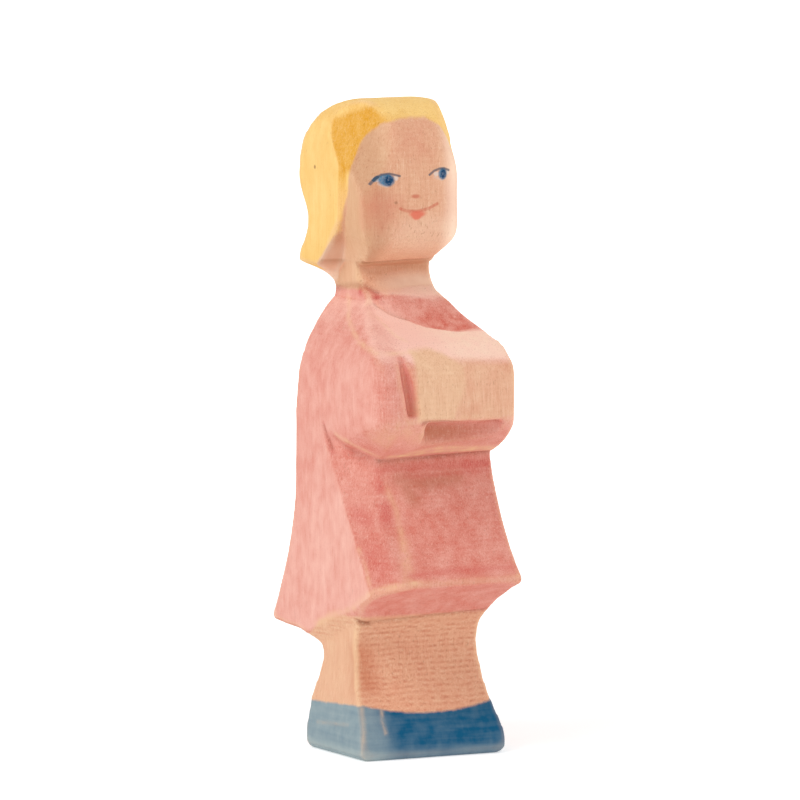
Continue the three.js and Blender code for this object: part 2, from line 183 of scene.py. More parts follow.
skin = sanded(read(figure.data.vertices, "co"), SANDING_ROUNDS)
across, forward, height = axes_of(skin)
face_part = band(height, 87.5, 112, 2) * band(forward, 1.5, 40, 2)
sleeve_part = band(across, -20, -10.5, 1) * band(height, 54.5, 73, 1.5) * band(forward, 0, 40, 4)
chest_part = band(height, 72.5, 78, 1) * band(forward, 3, 12, 1) * 0.6
corner_part = band(height, 33, 49, 2) * band(across, -10.5, -4.5, 1.5) * band(forward, 8, 22, 1)
rounded = np.maximum.reduce([face_part, sleeve_part, chest_part, corner_part])
skin = sanded(skin, ROUNDING_ROUNDS, rounded[:, None])
print("%d of %d points rounded more" % ((rounded > 0).sum(), len(skin)))

# %% [markdown]
# ## Knife marks
# A knife never leaves a true plane. Moving each point a tenth of a millimetre
# in or out along its normal, by a slow noise, gives the gentle waves that make
# light run unevenly over a carved face. The knife's point also left thin cuts,
# under the chin, at the neck, under the arms and at the top of the legs, and it
# hollowed the chest along a slanting line. A cut is a line through places read
# off the photograph: across, forwards and up, in millimetres.

# %% Thin cuts


def distance_to(stops):
    """Millimetres from each point of the skin to a line through the stops."""
    places = np.stack(axes_of(skin), 1)
    nearest = np.full(len(places), np.inf)
    for start, end in zip(stops, stops[1:]):
        along = np.subtract(end, start)
        share = np.clip((places - start) @ along / (along @ along), 0, 1)
        beside = places - start - share[:, None] * along
        nearest = np.minimum(nearest, np.linalg.norm(beside, axis=1))
    return nearest


def stroke(width, strength, *stops):
    """The strength on a line through (across, forward, up) stops, fading beside it."""
    return strength * np.exp(-(distance_to(stops) / width) ** 2)


cuts = np.maximum.reduce([
    stroke(0.45, 1.0, (-7.6, 0.1, 85.3), (-4.8, 0.7, 85.5), (-1.1, 1.0, 85.6), (5.2, 1.0, 85.6)),
    stroke(0.55, 0.8, (-7.0, -10.4, 80.3), (-7.0, -5.7, 80.9), (-6.9, -1.4, 81.2), (-4.8, 0.5, 80.1)),
    stroke(0.4, 0.7, (-6.0, 2.4, 78.1), (-3.9, 3.7, 76.6), (-1.1, 4.6, 75.6)),
    stroke(0.4, 0.8, (-13.5, -2.6, 57.0), (-12.9, -2.2, 55.5), (-12.9, -0.6, 53.2)),
    stroke(0.45, 1.0, (-9.0, 8.2, 51.6), (-0.5, 8.4, 52.0), (8.6, 9.0, 52.2), (13.4, 9.0, 52.2)),
    stroke(0.4, 1.0, (-4.6, 18.0, 58.9), (4.0, 17.0, 59.0), (11.5, 16.0, 59.0)),
    stroke(0.4, 0.7, (-12.2, 8.0, 24.0), (-4.5, 8.4, 24.0), (4.0, 8.8, 24.6), (11.5, 9.2, 24.9)),
    stroke(0.5, 1.6, (-12.3, 8.1, 23.9), (-11.1, 8.0, 23.6), (-10.2, 7.9, 23.6)),
])
print("cuts touch %d points" % (cuts > 0.1).sum())

# %% The hollow of the chest


def border(along, *stops):
    """A border that runs through the given (place, value) stops."""
    places, values = zip(*stops)
    return np.interp(along, places, values)


inside_chest = border(across, (-6.0, 2.2), (-3.9, 3.7), (-1.1, 4.8), (1.4, 7.2),
                      (5.8, 9.0), (13.5, 9.8)) - forward
steep_rim = np.clip(inside_chest / 0.8 + 0.5, 0, 1)
slow_end = np.clip(1 - inside_chest / 6, 0, 1)
between_shoulders = np.clip(across + 6.5, 0, 1) * np.clip((11.5 - across) / 5, 0, 1)
hollow = steep_rim * slow_end * between_shoulders
hollow *= band(height, 73.0, 79.0, 0.8) * band(forward, 0, 11, 1)
print("hollow touches %d points" % (hollow > 0.1).sum())

# %% [markdown]
# The waves, the cuts and the hollow move the skin together. The layer of paint
# adds its own thickness. The sole stays flat so that it stands.

# %% Move the skin
WAVE_LENGTH, WAVE_DEPTH = 9.0, 0.13
RIPPLE_LENGTH, RIPPLE_DEPTH = 3.2, 0.045
CUT_DEPTH = 0.3
HOLLOW_DEPTH = 0.7
PAINT_THICKNESS = 0.14
SOLE_HEIGHT = 1.0


def wave(length):
    return np.array([noise.noise(Vector(point) / (length * MM)) for point in skin])


figure.data.vertices.foreach_set("co", skin.ravel())
figure.data.update()
facing = read(figure.data.vertex_normals, "vector")
push = WAVE_DEPTH * wave(WAVE_LENGTH) + RIPPLE_DEPTH * wave(RIPPLE_LENGTH) + PAINT_THICKNESS
push -= HOLLOW_DEPTH * hollow + CUT_DEPTH * cuts
push *= np.clip(height / SOLE_HEIGHT, 0, 1)
skin = skin + facing * push[:, None] * MM
figure.data.vertices.foreach_set("co", skin.ravel())
figure.data.shade_smooth()
figure.data.update()
print("pushed from %.2f to %.2f mm" % (push.min(), push.max()))

# %% [markdown]
# ## Where each paint goes
# The painter followed the carved edges: hair behind the temples and above the
# forehead, dress from hem to neckline, shoes along a dipping line. Painting
# with a brush in the viewport can't be repeated by a script, so every point of
# the skin gets a number for each field: how many millimetres it lies inside
# the field's border, negative outside. The material blurs that border later.

# %% Hair
across, forward, height = axes_of(skin)
facing = read(figure.data.vertex_normals, "vector")
behind_temple = border(height, (84.1, -10.2), (87.5, -6.2), (90.7, -2.7), (93.9, -1.1),
                       (97.6, -0.1), (101.3, 0.1), (105.3, 0.4)) - forward
above_brow = height - border(across, (-10.1, 101.8), (-9.4, 102.4), (-8.5, 104.9), (-7.0, 107.5),
                             (-5.1, 109.5), (-1.9, 110.5), (2.9, 110.5), (5.3, 109.1),
                             (7.5, 106.4), (8.4, 103.5), (10.0, 101.0))
on_neck = (np.abs(across) < 7.6) & (forward > -11.6)
hair_end = np.where(on_neck, 85.1, 83.3)
hair = np.minimum(np.maximum(behind_temple, above_brow), height - hair_end)
print("hair %d points" % (hair > 0).sum())

# %% [markdown]
# The dress ends in a line along the hem's lower edge, and in a neckline that
# is sharp at the sides and blurred in front. Scaling the distance down makes the
# same blur wider there.

# %% Dress
NECKLINE_BLUR = 0.6
above_legs = height - border(forward, (-23.0, 18.0), (-12.0, 18.5), (-6.0, 21.4), (-4.0, 22.9),
                             (0.0, 23.9), (5.0, 24.6), (8.0, 24.6))
below_neck = border(forward, (-12.0, 80.6), (-6.0, 80.4), (-1.0, 80.6), (2.0, 79.8)) - height
below_neck += border(across, (-3.0, 0.0), (4.0, 0.8)) * band(forward, 0, 20, 1)
below_neck *= 1 - NECKLINE_BLUR * band(forward, 1, 20, 1)
dress = np.minimum(above_legs, below_neck)
print("dress %d points" % (dress > 0).sum())

# %% [markdown]
# The hand and the forearm keep a wooden colour inside the pink. Each lies inside
# several borders at once, so the nearest border counts. The shoes end in a line
# that dips in the middle of the front and rises a little forwards at the sides.

# %% Hand, forearm and shoes
HAND_BOTTOM = 59.0
hand_tips = border(height, (59.0, 1.6), (61.0, 2.2), (65.0, 3.7), (69.0, 3.6))
hand_top = border(across, (-6.0, 71.4), (-2.0, 71.7), (0.5, 70.7), (4.0, 68.0))
hand = np.minimum.reduce([across + 5.9, hand_tips - across, height - HAND_BOTTOM,
                          hand_top - height, forward - 12.5])
arm_top = border(across, (2.0, 69.5), (13.0, 68.6))
forearm = np.minimum.reduce([across - 1.6, height - HAND_BOTTOM, arm_top - height, forward - 13.0])

flank = np.abs(facing[:, 0])
front_line = 7.65 - 0.0186 * across + 0.00983 * across ** 2
side_line = border(forward, (-8.0, 8.3), (8.7, 9.3))
at_side = np.clip(flank * 2 - 0.6, 0, 1)
shoe = front_line + (side_line - front_line) * at_side - height
print("hand %d points, shoes %d" % ((hand > 0).sum(), (shoe > 0).sum()))

# %% [markdown]
# The material reads these numbers as named attributes, which need no unwrapped
# map. It also needs to know which way each point faces.

# %% Keep the fields on the mesh


def keep(name, values):
    field = figure.data.attributes.new(name, "FLOAT", "POINT")
    field.data.foreach_set("value", np.asarray(values, np.float32))


for name, values in (("hair", hair), ("dress", dress), ("hand", hand), ("forearm", forearm),
                     ("shoe", shoe), ("flank", flank), ("upward", facing[:, 2]),
                     ("ahead", -facing[:, 1])):
    keep(name, values)
print("kept", sorted(figure.data.attributes.keys()))

# %% [markdown]
# ## Worn edges, painted shade and single strokes
# Hands rub the paint off outer edges first. Creases get darker, partly from pooled
# paint and partly from painted shade. Both follow from how far a point stands out
# of its surroundings: sanding a copy of the skin hard shows how far each point
# would move along its normal. Single marks on the real figure are lines across
# the skin: rubbed lines at the shoulder, under the arms and along the hem,
# scratches on a shoe and rows of undiluted red under the arms. Painted shadows are
# drawn the same way: red in the crease of the collar, brown in the hollow under
# the hands and below the arms. Each is measured as a distance in space, so a line
# bends with the skin.

# %% Edges and creases
WEAR_ROUNDS = 24
standing_out = ((skin - sanded(skin, WEAR_ROUNDS)) * facing).sum(1) / MM
keep("edge", standing_out)
keep("cut", cuts)
print("edges stand out %.2f mm, creases %.2f mm" % (standing_out.max(), standing_out.min()))

# %% Rubbed lines
bare_lines = np.maximum.reduce([
    stroke(0.55, 0.65, (-7.0, -6.0, 79.2), (-8.4, -2.9, 77.3), (-9.7, -0.4, 75.6), (-10.7, 3.3, 73.9),
           (-11.6, 7.1, 72.4), (-12.1, 13.6, 71.1), (-10.6, 14.9, 70.8), (-5.2, 14.9, 70.8)),
    stroke(0.5, 0.5, (-7.0, 5.5, 76.4), (-7.2, 6.5, 76.0), (-6.4, 10.8, 73.4), (-5.1, 12.4, 72.3)),
    stroke(0.5, 0.6, (-13.4, 1.5, 55.9), (-13.0, 5.6, 55.0), (-11.3, 7.4, 53.8), (-8.8, 9.4, 52.7)),
    stroke(1.0, 1.1, (-3.7, 11.1, 53.2), (-0.3, 12.1, 53.7), (1.3, 12.6, 54.0), (6.5, 12.1, 53.7),
           (11.7, 11.5, 53.4)),
    stroke(1.0, 1.3, (-6.5, 9.8, 52.7), (-1.8, 10.2, 52.9), (0.6, 11.2, 53.3), (13.0, 11.0, 53.2)),
    stroke(2.2, 0.5, (-11.0, 14.0, 55.9), (-9.6, 17.0, 57.5), (-7.6, 17.3, 57.8), (-3.9, 15.2, 55.7)),
    stroke(0.7, 0.5, (-8.2, 9.6, 48.1), (-6.8, 11.6, 43.4), (-6.8, 13.0, 40.8), (-6.7, 14.4, 38.5)),
    stroke(1.1, 0.65, (-6.8, 14.6, 38.0), (-7.3, 16.1, 36.0), (-7.9, 18.2, 33.5), (-8.8, 20.0, 31.7)),
    stroke(0.55, 0.9, (-12.9, 15.2, 29.9), (-11.1, 17.6, 30.7), (-9.3, 20.0, 31.5), (-6.2, 20.2, 31.7)),
    stroke(0.4, 0.4, (-6.2, 20.2, 31.7), (13.4, 20.2, 31.8)),
    stroke(0.4, 0.7, (-13.1, 10.2, 36.7), (-13.0, 12.9, 33.2), (-13.1, 14.8, 29.9)),
    stroke(0.6, 0.75, (-13.1, 14.8, 29.8), (-13.2, 8.9, 26.5), (-13.4, 5.4, 25.4), (-13.5, -0.5, 24.0),
           (-13.5, -6.0, 21.8)),
    stroke(0.5, 0.8, (-11.9, 6.3, 22.4), (-11.9, 6.2, 18.9), (-12.0, 6.6, 15.2), (-12.4, 7.6, 12.1)),
    stroke(0.35, 0.55, (-12.5, 9.9, 8.9), (-13.0, 11.6, 6.5), (-13.7, 12.8, 4.3), (-13.7, 12.8, 0.8)),
    stroke(0.35, 0.8, (-8.9, 10.3, 8.3), (-9.4, 11.5, 6.6), (-9.3, 12.6, 4.7)),
    stroke(0.3, 0.35, (-13.8, -4.8, 4.9), (-13.6, 6.8, 5.8)),
])
keep("bare", bare_lines)
print("rubbed lines touch %d points" % (bare_lines > 0.1).sum())

# %% Red strokes, painted shadow and tint
red_strokes_and_collar_shade = np.maximum.reduce([
    stroke(0.8, 0.5, (-8.6, 8.7, 50.0), (3.3, 9.0, 50.2), (13.4, 9.0, 50.4)),
    stroke(0.45, 0.5, (-8.8, 9.1, 48.5), (3.1, 9.4, 48.8), (13.4, 9.4, 49.1)),
    stroke(1.0, 0.9, (8.0, 8.9, 50.2), (13.4, 8.9, 50.3)),
    stroke(1.1, 0.9, (-8.8, 9.6, 48.2), (-8.6, 9.9, 47.2)),
    stroke(1.4, 0.8, (-8.6, 11.4, 43.8), (-8.8, 12.4, 42.0)),
    stroke(1.7, 0.55, (-12.4, 7.8, 42.6), (-11.0, 9.5, 41.5)),
    stroke(2.4, 0.4, (-11.6, 12.6, 36.0), (-11.0, 15.0, 33.4)),
    stroke(0.6, 0.5, (-8.0, 19.2, 32.7), (-0.1, 18.7, 33.1), (13.4, 18.7, 33.2)),
    # A red painted shadow in the crease of the collar.
    stroke(1.0, 1.2, (-6.8, -1.2, 80.3), (-5.2, 0.9, 79.4)),
    stroke(0.6, 0.6, (-13.5, -2.6, 57.4), (-12.9, -1.8, 55.0), (-12.9, -0.2, 52.4)),
])
# Painted shadow: brown in the hollow under the hands and below the arms.
shadow_under_arms = np.maximum.reduce([
    stroke(2.0, 1.0, (-1.5, 14.6, 57.0), (9.5, 13.2, 57.0)),
    stroke(1.5, 0.6, (-5.2, 9.6, 48.2), (-1.0, 10.0, 47.4), (6.0, 9.7, 48.2)),
    stroke(1.6, 0.6, (-4.0, 10.0, 47.0), (-3.0, 10.9, 45.0)),
])
# The chest hollow is darker: partly deeper paint, partly painted shade.
chest_hollow = np.clip(inside_chest / 1.6 + 0.3, 0, 1)
chest_hollow *= band(height, 73.0, 78.6, 1.2) * band(across, -5.5, 20, 1.0)
keep("red", red_strokes_and_collar_shade)
keep("shadow_under_arms", shadow_under_arms)
keep("chest", chest_hollow)
keep("tan", stroke(2.2, 1.0, (-10.6, 6.3, 18.0), (-10.4, 7.2, 12.6)))
print("red strokes touch %d points" % (red_strokes_and_collar_shade > 0.1).sum())

# %% [markdown]
# ## A short way to write shader maths
# A painted surface needs many small sums: borders, blurs, speckles. Node by
# node that is hard to read. A class that wraps a socket and adds a Math node
# for each operator lets the sums be written as sums, and one method adds any
# other node.

# %% Sockets that can be added and multiplied


class Wire:
    def __init__(self, palette, node, output=0):
        self.palette = palette
        self.node = node
        self.output = output

    def out(self, output):
        """Another output of the same node."""
        return Wire(self.palette, self.node, output)

    def sum(self, operation, first, second):
        return self.palette.add("ShaderNodeMath", {"operation": operation}, {0: first, 1: second})

    def __add__(self, other):
        return self.sum("ADD", self, other)

    def __radd__(self, other):
        return self.sum("ADD", other, self)

    def __sub__(self, other):
        return self.sum("SUBTRACT", self, other)

    def __rsub__(self, other):
        return self.sum("SUBTRACT", other, self)

    def __mul__(self, other):
        return self.sum("MULTIPLY", self, other)

    def __rmul__(self, other):
        return self.sum("MULTIPLY", other, self)

    def __truediv__(self, other):
        return self.sum("DIVIDE", self, other)

    def __rtruediv__(self, other):
        return self.sum("DIVIDE", other, self)

    def __pow__(self, other):
        return self.sum("POWER", self, other)

    def __abs__(self):
        return self.sum("ABSOLUTE", self, 0.0)


class Palette:
    def __init__(self, owner):
        owner.use_nodes = True
        self.tree = owner.node_tree
        self.tree.nodes.clear()

    def add(self, kind, settings=None, inputs=None, output=0):
        node = self.tree.nodes.new(kind)
        for name, value in (settings or {}).items():
            setattr(node, name, value)
        for name, value in (inputs or {}).items():
            if isinstance(value, Wire):
                self.tree.links.new(value.node.outputs[value.output], node.inputs[name])
            else:
                node.inputs[name].default_value = value
        return Wire(self, node, output)

    def field(self, name):
        return self.add("ShaderNodeAttribute", {"attribute_name": name}, output="Fac")

    def soft(self, value, start, end):
        """0 before start and 1 after end, blurred between them."""
        return self.add("ShaderNodeMapRange", {"interpolation_type": "SMOOTHSTEP"},
                        {"Value": value, "From Min": start, "From Max": end})

    def mix(self, first, second, amount):
        return self.add("ShaderNodeMix", {"data_type": "RGBA"},
                        {0: amount, 6: first, 7: second}, output=2)

    def speckle(self, place, stretch, detail=2.0, roughness=0.5):
        """Noise from -1 to 1, stretched by the three given numbers per millimetre."""
        placed = self.add("ShaderNodeVectorMath", {"operation": "MULTIPLY"}, {0: place, 1: stretch})
        cloud = self.add("ShaderNodeTexNoise", None, {"Vector": placed, "Scale": 1.0, "Detail": detail,
                                                      "Roughness": roughness})
        return cloud * 2 - 1


# %% [markdown]
# ## Bare wood
# The block is a fine, pale hardwood. Its fibres run up and down, so long thin
# noise makes the grain, and the highest peaks of a finer noise are its pores.
# Noise of the same kind, turned aside, makes slanting scratches.
# The band saw left level rows of fine marks on every face that looks forwards
# or backwards; the flat sides were planed smooth.

# %% Grain, pores and saw marks
ROW_PITCH = 0.95
SCRATCH_SLANT = 0.7
BANDS_PER_UNIT = 20 / (2 * math.pi)

painted_wood = bpy.data.materials.new("painted_wood")
paint = Palette(painted_wood)
place = paint.add("ShaderNodeVectorMath", {"operation": "SCALE"},
                  {0: paint.add("ShaderNodeTexCoord", output="Object"), "Scale": 1 / MM})
x = paint.add("ShaderNodeSeparateXYZ", None, {0: place}, output="X")
y, z = x.out("Y"), x.out("Z")

upward = paint.field("upward")
ahead = paint.field("ahead")
edge = paint.field("edge")
sideways = paint.soft(paint.field("flank"), 0.86, 0.97)

grain = paint.speckle(place, (1.3, 1.3, 0.07), 3.0, 0.6)
fibre = paint.speckle(place, (4.5, 4.5, 0.3), 2.0, 0.6)
blotch = paint.speckle(place, (0.16, 0.16, 0.1), 2.0)
cloud = paint.speckle(place, (0.5, 0.5, 0.35), 3.0)
grit = paint.speckle(place, (5.0, 5.0, 5.0), 2.0, 0.7)
pores = paint.soft(paint.speckle(place, (3.4, 3.4, 1.1), 1.0), 0.34, 0.6)
slanted = paint.add("ShaderNodeVectorRotate", {"rotation_type": "Y_AXIS"},
                    {"Vector": place, "Angle": SCRATCH_SLANT})
scratches = paint.speckle(slanted, (3.2, 3.2, 0.3), 2.0, 0.6)

saw_rows = paint.add("ShaderNodeTexWave", {"wave_type": "BANDS", "bands_direction": "Z"},
                     {"Vector": place, "Scale": 1 / (BANDS_PER_UNIT * ROW_PITCH), "Distortion": 4.0,
                      "Detail": 3.0, "Detail Scale": 0.6, "Detail Roughness": 0.6}, output="Fac")
saw_teeth = paint.speckle(place, (1.1, 0.4, 0.9), 2.0, 0.6)
sawn = (1 - sideways) * paint.soft(abs(upward), 0.85, 0.5)
saw_marks = ((saw_rows - 0.5) * (0.4 + saw_teeth * 2.0) + saw_teeth * 0.35 + grit * 0.4) * sawn


def count_nodes(step):
    print("%s: %d nodes so far" % (step, len(paint.tree.nodes)))


count_nodes("grain and marks")

# %% [markdown]
# A colour is easiest to choose as it looks on a screen, but a shader mixes colours
# as amounts of light. One helper turns the first into the second, so that every
# paint below can be named by three plain numbers.

# %% Colour of bare wood


def pigment(red, green, blue):
    """A colour given as it looks on a screen, 0 to 255, as the shader wants it."""
    def linear(channel):
        share = channel / 255
        return share / 12.92 if share <= 0.04045 else ((share + 0.055) / 1.055) ** 2.4
    return (linear(red), linear(green), linear(blue), 1.0)


wood_pale = pigment(248, 208, 172)
wood_dark = pigment(214, 158, 120)
wood = paint.mix(wood_pale, wood_dark, 0.3 + grain * 0.28 + fibre * 0.2 + saw_marks * 0.12)
count_nodes("bare wood")

# %% [markdown]
# ## Flesh tint
# Face, neck, hands and legs have a thin warm wash, stronger on the sawn faces,
# which drink more of it than the smooth sides do. The legs show the saw most,
# and a stronger spot of tint sits beside their right front corner. A wash could
# be a see-through layer over the wood. Mixing it into the wood's colour is
# simpler, and on a matt surface it is enough.

# %% A warm wash on the skin
flesh = pigment(222, 152, 122)
strong_tint = pigment(196, 112, 78)
saw_dirt = pigment(170, 104, 70)
on_legs = paint.soft(z, 27.0, 24.0)
planed = paint.soft(paint.field("flank"), 0.45, 0.9)
flesh_wash = 0.48 - planed * 0.34 + cloud * 0.3 + blotch * 0.14 + fibre * 0.16 + grit * 0.26 \
    + on_legs * 0.14 + saw_marks * (0.1 + on_legs * 0.4)
skin_colour = paint.mix(wood, flesh, flesh_wash)
skin_colour = paint.mix(skin_colour, strong_tint, paint.field("tan") * 0.6)
rows_on_legs = paint.soft(saw_marks, -0.2, 0.8) * on_legs * (1 - planed)
skin_colour = paint.mix(skin_colour, saw_dirt, rows_on_legs * 0.24)
count_nodes("flesh tint")

# %% [markdown]
# ## Hair paint
# Yellow, thin and streaky, and palest on the crown and the planed sides. The
# facet that the knife cut at the right temple soaked up most of it, and slanting
# scratches show there. The ends of the hair face down and get painted shade, a
# deeper yellow. A pale and a deep yellow are mixed by how much paint there is and
# by that painted shade. The border of each paint field is blurred over a fraction
# of a millimetre, with a little noise so that the brush line isn't ruler-straight.

# %% Hair colour
wobble = cloud * 0.35 + grit * 0.18

hair_here = paint.soft(paint.field("hair") + wobble, -0.35, 0.45)
hair_pale = pigment(253, 212, 136)
hair_deep = pigment(226, 160, 44)
on_crown = paint.soft(upward, 0.6, 0.9)
# Painted shade: the ends of the hair face down and get a deeper yellow.
shaded_hair_ends = paint.soft(z, 90.0, 85.0)
above_ear = paint.soft(z, 97.0, 102.0) * paint.soft(z - x * 0.55, 116.3, 115.0)
temple = paint.soft(ahead, 0.25, 0.5) * (1 - sideways) * paint.soft(upward, 0.62, 0.36) \
    * paint.soft(x, 5.0, 0.0) * above_ear
hair_strength = 0.26 - on_crown * 0.16 - sideways * 0.1 + temple * (0.56 + scratches * 0.3) \
    + shaded_hair_ends * 0.14 + cloud * 0.26 + blotch * 0.14 + (grain + fibre + grit) * 0.14
hair_colour = paint.mix(hair_pale, hair_deep, hair_strength)
count_nodes("hair")

# %% [markdown]
# ## Dress paint
# Pink, weak on the planed sides and strong where a cut opened the fibres, so the
# front of the skirt is deep. The hollow of the chest is darker, partly from deeper
# paint and partly from painted shade. On the shelf above the arms the pink is
# nearly rubbed away, and painted light makes it paler still where it faces up. A
# brown painted shadow lies in the hollow under the hands and below the arms. Most
# of this follows from which way a point faces and how high it is, so the strength
# is a sum of such terms. That is easier to adjust than a painted image.

# %% Dress colour
dress_here = paint.soft(paint.field("dress") + wobble, -0.4, 0.5)
dress_pale = pigment(251, 200, 184)
dress_deep = pigment(209, 98, 80)
pale_pink_rubbed_and_lit = pigment(252, 218, 194)
shadow_brown = pigment(184, 108, 74)
on_skirt = paint.soft(z, 50.0, 40.0)
# The chest hollow: partly deeper paint, partly painted shade.
chest = paint.field("chest") * (1 + cloud * 0.3)
chest_depth_and_shade = paint.soft(z, 77.5, 74.5) * 0.12 - paint.soft(x, 2.0, -5.0) * 0.3
# The shelf is paler: partly rubbed paint, partly painted light where it faces up.
shelf = paint.soft(upward, 0.4, 0.75) * (1 - chest) * paint.soft(z, 60.0, 66.0)
rubbed_and_lit = sideways * (0.14 + on_skirt * 0.12) + shelf * (0.36 + paint.soft(x, -9.0, -5.0) * 0.34)
soaked_in_and_shaded = chest * chest_depth_and_shade + on_skirt * (1 - sideways) * 0.06
uneven = cloud * 0.28 + blotch * 0.18 + fibre * 0.16 + grit * 0.2 + saw_marks * 0.12
dress_colour = paint.mix(dress_pale, dress_deep, 0.58 - rubbed_and_lit + soaked_in_and_shaded + uneven)
# Pale pink on the shelf: rubbed paint and painted light.
pale_shelf = shelf * paint.soft(x, -4.0, 6.0) * (0.65 + cloud * 0.6)
dress_colour = paint.mix(dress_colour, pale_pink_rubbed_and_lit, pale_shelf)
# A brown painted shadow in the hollow under the hands and below the arms.
dress_colour = paint.mix(dress_colour, shadow_brown, paint.field("shadow_under_arms") * 0.7)
count_nodes("dress")

# %% [markdown]
# ## Shoe paint
# Dark blue in front, and faded to grey on the planed sides, beside the right front
# corner and along the sole. The brush left level streaks. A noise stretched along
# the stroke makes them, where an even noise would look like dirt.

# %% Shoe colour
shoe_here = paint.soft(paint.field("shoe") + wobble * 0.8, -0.3, 0.3)
shoe_pale = pigment(164, 180, 182)
shoe_deep = pigment(3, 86, 124)
streak = paint.speckle(place, (0.1, 0.1, 1.2), 2.0)
near_corner = paint.soft(x, -6.0, -12.0) * (1 - sideways)
near_sole = paint.soft(z, 2.6, 0.8)
shoe_strength = 0.94 - sideways * 0.68 - near_corner * 0.5 - near_sole * 0.3 \
    + cloud * 0.2 + streak * 0.16
shoe_colour = paint.mix(shoe_pale, shoe_deep, shoe_strength)
count_nodes("shoes")

# %% [markdown]
# ## Layers
# The hand is nearly bare wood, and the forearm beside it has a little flesh tint.
# Each paint could be a thin shell of its own, but shells so close together
# flicker where they meet. One material mixes the colours in turn instead: skin,
# dress, forearm, hand, hair and shoes.

# %% Put the paints on
bare_hand = paint.soft(paint.field("hand") + wobble * 0.8, -0.5, 0.9)
tinted_arm = paint.soft(paint.field("forearm") + wobble, -0.8, 1.0)
hand_colour = paint.mix(wood, flesh, 0.12 + cloud * 0.2)
arm_colour = paint.mix(wood, flesh, 0.34 + cloud * 0.4)

coat = paint.mix(skin_colour, dress_colour, dress_here)
coat = paint.mix(coat, arm_colour, tinted_arm * 0.85)
coat = paint.mix(coat, hand_colour, bare_hand)
coat = paint.mix(coat, hair_colour, hair_here)
coat = paint.mix(coat, shoe_colour, shoe_here)
count_nodes("all paints")

# %% [markdown]
# ## Wear and painted shade
# Worn edges show bare wood. The knife cuts get a brown line of painted shade, and
# the groove at the cuff a paler pink of painted light that lifts its shade.
# Between the fibres the paint sits a little darker, on top of them a little paler.

# %% Bare edges and red strokes
bare = pigment(246, 206, 164)
red_paint_and_shade = pigment(204, 74, 70)
wear_share = 0.4 - shoe_here * 0.3 - dress_here * 0.14
worn = paint.soft(edge + grit * 0.04 + cloud * 0.06, 0.1, 0.3) * wear_share
rubbed = paint.field("bare") * (0.5 + grit * 0.5 + cloud * 0.8)
coat = paint.mix(coat, bare, worn)
coat = paint.mix(coat, bare, rubbed)
# Red paint in strokes; the one in the crease of the collar is a painted shadow.
red_here = paint.field("red") * (0.8 + grit * 0.5 + fibre * 0.4)
coat = paint.mix(coat, red_paint_and_shade, red_here * 0.75)
count_nodes("wear")

# %% Creases, cuts, pores and fibres
painted_light_pink = pigment(255, 186, 160)
pooled_and_shade_red = pigment(190, 92, 76)
cut_shade_brown = pigment(140, 80, 52)
pore_brown = pigment(150, 92, 62)
fibre_brown = pigment(166, 96, 68)
fibre_pale = pigment(255, 236, 212)
# Painted light: a paler pink in the groove at the cuff lifts its shade.
at_cuff = paint.soft(z, 58.5, 60.5) * paint.soft(x, -3.0, -5.0) * paint.soft(ahead, -0.6, 0.0)
lit_groove = paint.soft(edge, -0.05, -0.3) * at_cuff
coat = paint.mix(coat, painted_light_pink, lit_groove * 0.6)
# Creases on the dress turn darker red: partly pooled paint, partly painted shade.
pooled_and_shaded = paint.soft(edge, -0.06, -0.4) * (1 - chest) * (1 - lit_groove) * dress_here
coat = paint.mix(coat, pooled_and_shade_red, pooled_and_shaded * 0.24)
# Painted shade: a brown line in the knife cuts.
coat = paint.mix(coat, cut_shade_brown, paint.field("cut") * (0.45 + grit * 0.4))
coat = paint.mix(coat, pore_brown, pores * (0.34 - sideways * 0.16) * (1 - shoe_here))
tooth = (fibre * 0.7 + grit * 0.7) * (1 - sideways * 0.5)
coat = paint.mix(coat, fibre_brown, paint.soft(tooth, 0.06, 0.5) * 0.26 * (1 - shoe_here))
coat = paint.mix(coat, fibre_pale, paint.soft(tooth, -0.06, -0.5) * 0.15 * (1 - shoe_here))
count_nodes("dirt")

# %% [markdown]
# ## The face
# Eyes, nose and mouth are a few strokes of a fine brush. A stroke is a distance
# from a line between two places; an iris is a distance from a point. Drawing
# them in the material keeps their edges soft, as paint on open wood is.

# %% Brush strokes and dabs


def brush(thickness, *stops):
    """A stroke through (across, up) places on the face, 1 in its middle."""
    strokes = []
    for (x0, z0), (x1, z1) in zip(stops, stops[1:]):
        dx, dz = x1 - x0, z1 - z0
        along = ((x - x0) * dx + (z - z0) * dz) / (dx * dx + dz * dz)
        share = paint.add("ShaderNodeClamp", None, {0: along})
        h, v = x - x0 - share * dx, z - z0 - share * dz
        strokes.append(paint.soft((h * h + v * v) ** 0.5 + grit * 0.06, thickness, thickness * 0.35))
    total = strokes[0]
    for more in strokes[1:]:
        total = total.sum("MAXIMUM", total, more)
    return total


def dab(middle, level, half_width, half_height, blur=0.3):
    """A spot of paint, 1 in its middle."""
    h = (x - middle) / half_width
    v = (z - level) / half_height
    return paint.soft((h * h + v * v) ** 0.5 + grit * 0.06, 1 + blur, 1 - blur)


on_face = paint.soft(ahead, 0.2, 0.4) * paint.soft(z, 84.0, 86.0)
count_nodes("place of the face")

# %% [markdown]
# The skin isn't even. The left cheek, the chin, the base of the neck and the skin
# under the hair are made paler with painted light. The facet beside the right eye
# gets painted shade and the neck under the chin a painted shadow, both brown; the
# smooth sides are browner. The lower face is full of fine cracks, and both cheeks
# and the forehead have a red blush.

# %% Skin of the face and neck
painted_light_tone = pigment(255, 220, 194)
shaded_tone = pigment(178, 122, 88)
side_tone = pigment(204, 154, 112)
crack_brown = pigment(176, 110, 74)
blush_red = pigment(212, 118, 98)
bare_skin = (1 - hair_here) * (1 - dress_here)
